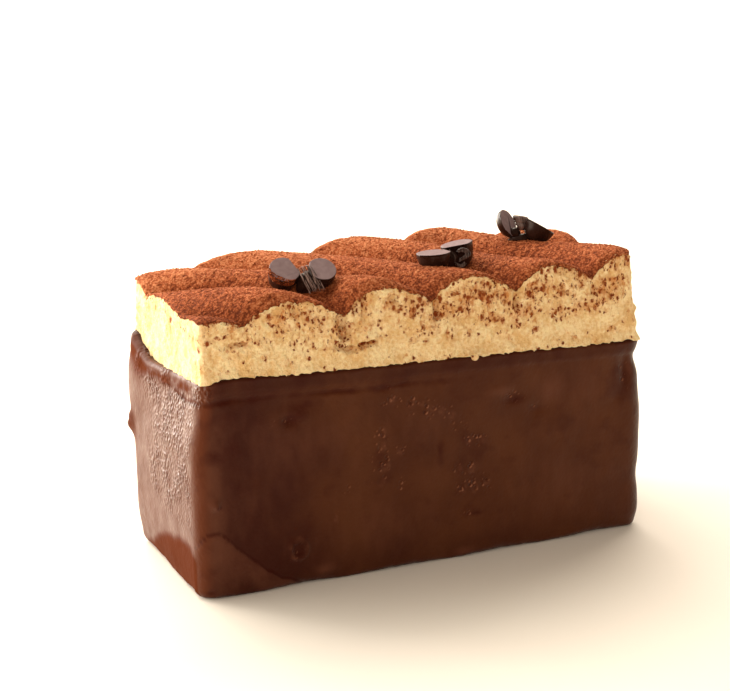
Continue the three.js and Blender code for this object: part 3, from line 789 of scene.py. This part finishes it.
def makeCocoa():
    block = gridBlock(dusting["grid"])
    paleAndLit = block.verts.layers.float.new("paleAndLit")
    for v in block.verts:
        u, w, t = v.co
        x, y, outX, outY, waver = creamPlan(u, w, dusting["grid"], gateau["crest"] - 1)
        inwards = min(creamHalfLength * (1 - abs(u)), creamHalfWidth * (1 - abs(w)))
        height, clump = cocoaHeight(x, y, inwards)
        hang = mix(0.2, dusting["thick"], smooth(inwards / 1.5))
        if onSides(u, w):
            # the powder hangs over the cut edges in a ragged hem
            hang = clamp(0.4 + 0.8 * rough(x, y, 2, 1.3, 3), 0.12, 1.1) * (1 if abs(outY) > 0.5 else 0.7)
            ragged = waver + 0.02 + 0.1 * hang + 0.1 * rough(x, y, 6, 0.9, 2)
            x, y = x + outX * ragged, y + outY * ragged
        v.co = (x, y, height if t > 0 else height - hang)
        # painted light and shade: paler on the clump tops and crests and darker in the valleys; also paler
        # towards the back, and where it is thin at the left end
        relief = clamp((height - gateau["crest"] + 2.2) / 5, -1, 1)
        thin = 0.4 * bell((x + 46) / 1.6, (y - 8) / 7) * smooth(0.5 + rough(x, y, 8, 1.5, 2))
        drift = 0.34 * smooth(y / 14) - 0.1 * smooth((-30 - x) / 10) * smooth(-y / 8)
        v[paleAndLit] = clamp(0.5 + 0.5 * clump + 0.3 * relief + thin + drift)
    finishPiece("cocoaLayer", block, [cocoa], ["cocoa_dusting"])


makeCocoa()


def lump(draw, spot, size, flat=0.7):
    # the matrix of one clump of powder, turned at random
    turn = Euler([draw.uniform(0, math.tau) for _ in range(3)]).to_matrix().to_4x4()
    stretch = Matrix.Diagonal((size * draw.uniform(0.7, 1.2), size * draw.uniform(0.7, 1.2), size, 1))
    return Matrix.Translation(spot) @ Matrix.Diagonal((1, 1, flat, 1)) @ turn @ stretch


def makeGrains():
    draw = random.Random(dusting["seeds"][0])
    places = []
    while len(places) < dusting["grains"]:
        x = draw.uniform(-creamHalfLength, creamHalfLength) + gateau["creamShift"]
        y = draw.uniform(-creamHalfWidth, creamHalfWidth)
        if not dusting["grainsFrom"] <= x <= dusting["grainsTo"] or abs(y) > creamHalfWidth - 0.7:
            continue
        size = 0.08 + 0.14 * draw.random() ** 2.5
        places.append(lump(draw, (x, y, cocoaHeight(x, y)[0] + 0.04), size))
    scatter("cocoaGrains", places, cocoa, 0.7)


def wallSpot(draw):
    # a random spot on one of the cut walls, and which way is out there
    wayX, wayY = draw.choices(((0, -1), (0, 1), (-1, 0), (1, 0)), (5, 4, 0.4, 1.8))[0]
    if wayY:
        x, y = draw.uniform(0.6 - creamHalfLength, creamHalfLength - 0.6), wayY * creamHalfWidth
    else:
        x, y = wayX * creamHalfLength, draw.uniform(0.6 - creamHalfWidth, creamHalfWidth - 0.6)
    return x + gateau["creamShift"], y, wayX, wayY


def makeFlecks():
    # crumbs of cocoa that the knife dragged down the cut walls, and powder that spilled over their top edges
    draw = random.Random(dusting["seeds"][1])
    places = []
    while len(places) < dusting["flecks"] + dusting["spill"]:
        spilled = len(places) >= dusting["flecks"]
        x, y, wayX, wayY = wallSpot(draw)
        if spilled and wayX > 0:
            continue
        bottom, top = rimHeight(x, y) + 0.4, ropeTop(x, y) - 0.3
        if spilled:
            z = top - 0.1 - 0.6 * draw.expovariate(1)
            size = 0.07 + 0.1 * draw.random()
        else:
            z = mix(bottom, top - 0.6, draw.random())
            if draw.random() > 0.9 * creamPaint(x, y, z, bottom, top, wayX, wayY)[0] ** 1.7:
                continue
            size = 0.07 + 0.16 * draw.random() ** 3
        if wayX > 0:
            x -= leanAt(z)
        squash = Matrix.Diagonal((1, 0.5, draw.uniform(0.9, 1.6), 1) if wayY else (0.5, 1, 1.2, 1))
        places.append(Matrix.Translation((x, y, z)) @ squash @ lump(draw, (0, 0, 0), size, 1))
    scatter("cocoaFlecks", places, cocoa, 0.45)


makeGrains()
makeFlecks()

# Each bean is snapped across and folded open. A lobe is given by the middle of its snapped face, the way that
# the face looks, its radius, the depth of the body behind it, and a straight cut (direction on the face,
# distance). A core, middle and radii, is what is left of the hinge. A web is strands laid between a first and
# a last path: how many, how thick, how pale, the pale partly a painted highlight. Dust is on a lobe's rim:
# lobe, first and last angle, how many
beans = [
    {"name": "Left", "node": "chocolate_bean_left",
     "lobes": [((-25.23, -9.76, 63.22), (-0.013, -0.59, 0.807), 3.12, 5.8, (0.91, 0.41, 2.4)),
               ((-17.57, -10.65, 62.58), (-0.006, -0.564, 0.825), 2.9, 6, (-0.98, 0.2, 2.6))],
     "cores": [((-21, -10.2, 59.7), (2.2, 1.5, 2.5))],
     "webs": [([(-22.7, -10.2, 63.2), (-22.2, -11.9, 61.2), (-21.4, -13.3, 58.6)],
               [(-20, -9.7, 63.5), (-19.4, -12, 61.7), (-18.3, -13.5, 59)], 10, 0.1, 1)],
     "dust": (0, 175, 300, 420)},
    {"name": "Middle", "node": "chocolate_bean_middle",
     "lobes": [((7.19, -9.09, 62.35), (-0.024, 0.09, 0.996), 3.5, 4.2, (0.9, -0.43, 3.2)),
               ((13.98, -5.3, 62.4), (-0.146, 0.114, 0.982), 3.3, 5.2, (-0.8, -0.6, 2.5))],
     "cores": [((12, -7, 59.7), (1.8, 1.4, 1.9))],
     "webs": [([(12.6, -8.6, 61.6), (13.7, -8.8, 62.2), (14.8, -9.3, 61.8), (15.1, -9.7, 60.9),
                (14.1, -9.6, 60.2), (12.7, -9.3, 59.7)],
               [(12.9, -8.5, 61.2), (13.6, -8.8, 61.6), (14.2, -9.1, 61.4), (14.4, -9.4, 60.9),
                (13.8, -9.4, 60.5), (12.9, -9.1, 60.1)], 4, 0.11, 0.3),
              ([(11.2, -7.9, 62), (11.85, -8.6, 60.9), (11.8, -9, 59.6)],
               [(11.35, -7.8, 61.9), (12.1, -8.5, 60.8), (12.2, -9, 59.5)], 2, 0.1, 0.5),
              ([(11.9, -8.9, 59.5), (13, -9.6, 58.9), (13.9, -9.5, 59.5)],
               [(12.1, -9.1, 59.2), (13.1, -9.9, 58.6), (14.2, -9.7, 59.1)], 4, 0.2, 0.3)]},
    {"name": "Right", "node": "chocolate_bean_right",
     "lobes": [((31.4, 6.5, 61.5), (0.594, -0.643, 0.481), 3.1, 2.2, (0, -1, 2.8)),
               ((37.4, 3.9, 60.9), (0.53, 0.02, 0.85), 3.35, 3.6, (-1, 0, 3.1))],
     "cores": [((33.6, 4.9, 58.3), (2.9, 1.3, 0.9)), ((32.2, 5.6, 59.3), (1.3, 1.1, 1.3))],
     "webs": [([(32.2, 6.4, 63), (33.5, 6.1, 62.6), (35.2, 5.5, 62.4)],
               [(32.8, 5.5, 60.7), (34, 5.2, 60.5), (35.6, 4.8, 60.5)], 6, 0.4, 0.6)]},
]
beanShape = {
    "fullness": 0.72,    # a lobe's sides: 1 is an ellipsoid, and less is fuller
    "uneven": 0.025, "bevel": 0.13, "insets": (0.2, 0.4),    # its skin, and the rim of its snapped face
    "torn": 0.14, "wander": 0.08,    # how uneven the cores are, and how far the strands wander
    "dustSeed": 29,
}


def lobeFrame(spec, number):
    # a place on a lobe's face whose third axis looks out and whose first runs on to the second lobe
    middle, facing = spec["lobes"][number][:2]
    z = Vector(facing).normalized()
    along = Vector(spec["lobes"][1][0]) - Vector(spec["lobes"][0][0])
    x = (along - z * z.dot(along)).normalized()
    return Matrix.Translation(middle) @ Matrix((x, z.cross(x), z)).transposed().to_4x4()


def snappedCap(body):
    # the largest face that looks up
    return max((f for f in body.faces if f.normal.z > 0.9), key=lambda f: f.calc_area())


def addLobe(block, lobe, spot, seed):
    # a rounded body cut off flat: the snapped face gets the second material
    _, _, radius, depth, (cutX, cutY, cutAway) = lobe
    body = bmesh.new()
    bmesh.ops.create_uvsphere(body, u_segments=56, v_segments=30, radius=1)
    for v in body.verts:
        flat = math.hypot(v.co.x, v.co.y)
        swell = flat ** beanShape["fullness"] / flat if flat > 1e-6 else 1
        v.co = (v.co.x * swell * radius, v.co.y * swell * radius, v.co.z * depth)
        v.co *= 1 + beanShape["uneven"] * rough(v.co.x, v.co.y, v.co.z + 20 * seed, 2.2, 2)
    faceCut = ((0, 0, -0.08), (0.03, 0.02, 1))
    endCut = ((cutX * cutAway, cutY * cutAway, 0), (cutX, cutY, 0.04))
    for point, way in (faceCut, endCut):
        whole = body.verts[:] + body.edges[:] + body.faces[:]
        bmesh.ops.bisect_plane(body, geom=whole, plane_co=point, plane_no=way, clear_outer=True)
        bmesh.ops.holes_fill(body, edges=[e for e in body.edges if e.is_boundary], sides=0)
    bmesh.ops.bevel(body, geom=snappedCap(body).edges[:], offset=beanShape["bevel"], segments=3, profile=0.5,
                    affect="EDGES", material=-1)
    for thickness in beanShape["insets"]:
        bmesh.ops.inset_region(body, faces=[snappedCap(body)], thickness=thickness)
    for face in body.faces:
        if face.normal.z > 0.93 and face.calc_center_median().z > -0.4:
            face.material_index = 1
    bmesh.ops.transform(body, matrix=spot, verts=body.verts)
    addTo(block, body)


def addCore(block, middle, radii, seed):
    # what is left of the hinge, torn and uneven
    core = bmesh.new()
    bmesh.ops.create_icosphere(core, subdivisions=4, radius=1)
    for v in core.verts:
        spot = Vector([c * r for c, r in zip(v.co, radii)])
        torn = beanShape["torn"] * rough(spot.x * 2.2, spot.y * 0.6, spot.z * 0.6 + seed, 1)
        v.co = spot * (1 + torn) + Vector(middle)
    addTo(block, core)


def curveThrough(line, t):
    # the point at a share of the smooth curve through a few points
    i = min(int(t * (len(line) - 1)), len(line) - 2)
    s = t * (len(line) - 1) - i
    p0, p1, p2, p3 = [line[clamp(n, 0, len(line) - 1)] for n in range(i - 1, i + 3)]
    bend = (2 * p0 - 5 * p1 + 4 * p2 - p3) * s ** 2 + (3 * p1 - p0 - 3 * p2 + p3) * s ** 3
    return 0.5 * (2 * p1 + (p2 - p0) * s + bend)


def addStrand(block, line, radius, pale):
    # one torn strand: a thin flattened tube through a few points, thin at its ends
    strand = bmesh.new()
    paleAndHighlit = strand.verts.layers.float.new("paleAndHighlit")
    bmesh.ops.create_cone(strand, cap_ends=True, segments=8, radius1=1, radius2=1, depth=1)
    lengthways = [e for e in strand.edges if abs(e.verts[0].co.z - e.verts[1].co.z) > 0.5]
    bmesh.ops.subdivide_edges(strand, edges=lengthways, cuts=17, use_grid_fill=True)
    for v in strand.verts:
        t = v.co.z + 0.5
        ahead = curveThrough(line, min(t + 0.02, 1)) - curveThrough(line, max(t - 0.02, 0))
        width = radius * (0.35 + 0.65 * math.sin(math.pi * clamp(0.08 + 0.84 * t)))
        across = Vector((v.co.x * width, v.co.y * width * 1.5, 0))
        across.rotate(ahead.to_track_quat("Z", "Y"))
        v.co = curveThrough(line, t) + across
        v[paleAndHighlit] = pale
    for face in strand.faces:
        face.material_index = 2
    addTo(block, strand)


def makeBean(spec, seed):
    block = bmesh.new()
    block.verts.layers.float.new("paleAndHighlit")
    draw = random.Random(seed)
    wander = beanShape["wander"]
    for number, lobe in enumerate(spec["lobes"]):
        addLobe(block, lobe, lobeFrame(spec, number), seed + number)
    for middle, radii in spec["cores"]:
        addCore(block, middle, radii, seed)
    for firstPath, lastPath, count, radius, pale in spec["webs"]:
        for number in range(count):
            share = clamp((number + draw.uniform(-0.3, 0.3)) / (count - 1), -0.05, 1.05)
            line = [Vector(a).lerp(Vector(b), share) + Vector([draw.uniform(-wander, wander) for _ in "xyz"])
                    for a, b in zip(firstPath, lastPath)]
            addStrand(block, line, radius * draw.uniform(0.6, 1.35), pale)
    finishPiece("coffeeBean" + spec["name"], block, beanMaterials, [spec["node"]])


def makeBeanDust(spec):
    # powder that stuck to the rim of a lobe
    draw = random.Random(beanShape["dustSeed"])
    number, start, end, count = spec["dust"]
    radius, lobeSpot = spec["lobes"][number][2], lobeFrame(spec, number)
    places = []
    for _ in range(count):
        share = draw.random()
        angle = math.radians(mix(start, end, share))
        down = 1.5 * draw.random() ** 1.4
        inwards = 0.9 * math.sin(math.pi * share) * draw.random() if down < 0.35 else 0
        away = radius * (1 - 0.02 * down) - inwards
        spot = Vector((away * math.cos(angle), away * math.sin(angle), -0.05 if inwards else -down))
        places.append(lump(draw, lobeSpot @ spot, 0.1 + 0.13 * draw.random()))
    scatter("beanDust", places, cocoa, 0.4)


for number, spec in enumerate(beans):
    makeBean(spec, 10 * number + 3)
    if "dust" in spec:
        makeBeanDust(spec)

studio = {
    "floor": "#f0ece4", "backdrop": "#fffdf6", "backdropStrength": 1.1,
    "ambient": "#ffe6c8", "ambientStrength": 0.3,
    "aim": (0, 0, 0.03),    # where the boxes face
    # soft boxes: place, size, radiance, colour, and whether they show in reflections
    "boxes": [("leftBox", (-0.85, 0.34, 0.36), (1.1, 0.7), 4, "#fff6e6", True),
              ("cornerBox", (-0.5, 1, 0.22), (0.8, 0.5), 12.5, "#fffaf2", True),
              ("backBox", (0.45, 0.95, 0.95), (1.6, 0.8), 5.6, "#fff0de", True),
              ("topBox", (-0.25, 0.75, 1), (1.2, 1.1), 2.9, "#fff6ea", True),
              ("frontFill", (-0.4, -1.4, 0.7), (1.2, 1), 2.5, "#fff2e4", False),
              ("floorGlow", (-0.36, 0.42, 0.5), (0.4, 0.4), 15.5, "#ffeed4", True)],
    "glowSpread": 80,
}


def makeStudio():
    scene = bpy.context.scene
    floor = bmesh.new()
    bmesh.ops.create_grid(floor, x_segments=1, y_segments=1, size=6)
    mesh = bpy.data.meshes.new("floor")
    floor.to_mesh(mesh)
    floor.free()
    plane = bpy.data.objects.new("floor", mesh)
    scene.collection.objects.link(plane)
    mesh.materials.append(closeMaterial(newMaterial("paleTable")[0], [], {
        "Base Color": studio["floor"], "Roughness": 0.55, "Specular IOR Level": 0.2}))
    for name, spot, size, radiance, colour, mirrored in studio["boxes"]:
        light = bpy.data.lights.new(name, "AREA")
        light.shape = "RECTANGLE"
        light.size, light.size_y = size
        light.energy = radiance * math.pi * size[0] * size[1]
        light.color = hexColour(colour)[:3]
        box = bpy.data.objects.new(name, light)
        box.location = spot
        box.visible_glossy = mirrored
        if name == "floorGlow":
            # shines straight down on the table behind the left end, which the coat mirrors
            light.spread = math.radians(studio["glowSpread"])
        else:
            box.rotation_euler = (Vector(studio["aim"]) - Vector(spot)).to_track_quat("-Z", "Y").to_euler()
        scene.collection.objects.link(box)
    world = bpy.data.worlds.new("studio")
    world.use_nodes = True
    tree = world.node_tree
    tree.nodes.clear()
    # the camera sees a pale backdrop, and the cake is lit by a dimmer and warmer one
    seen, fill = [addNode(tree, "Background", [studio[part], studio[part + "Strength"]])
                  for part in ("backdrop", "ambient")]
    ray = addNode(tree, "LightPath", {})
    either = addNode(tree, "MixShader", [ray.outputs["Is Camera Ray"], fill, seen])
    addNode(tree, "OutputWorld", {"Surface": either})
    scene.world = world
    scene.view_settings.view_transform = "Standard"


# place in millimetres, turn in degrees, lens in millimetres
view = {"place": (-239.1, -574.2, 239), "turn": (72.34, 1.31, -22.64), "lens": 156.3}


def makeCamera():
    camera = bpy.data.cameras.new("camera")
    camera.lens, camera.sensor_width = view["lens"], 36
    camera.clip_start, camera.clip_end = 0.01, 50
    seat = bpy.data.objects.new("camera", camera)
    seat.location = [c * mm for c in view["place"]]
    seat.rotation_euler = [math.radians(a) for a in view["turn"]]
    bpy.context.scene.collection.objects.link(seat)
    bpy.context.scene.camera = seat


makeStudio()
makeCamera()
print("studio ready")
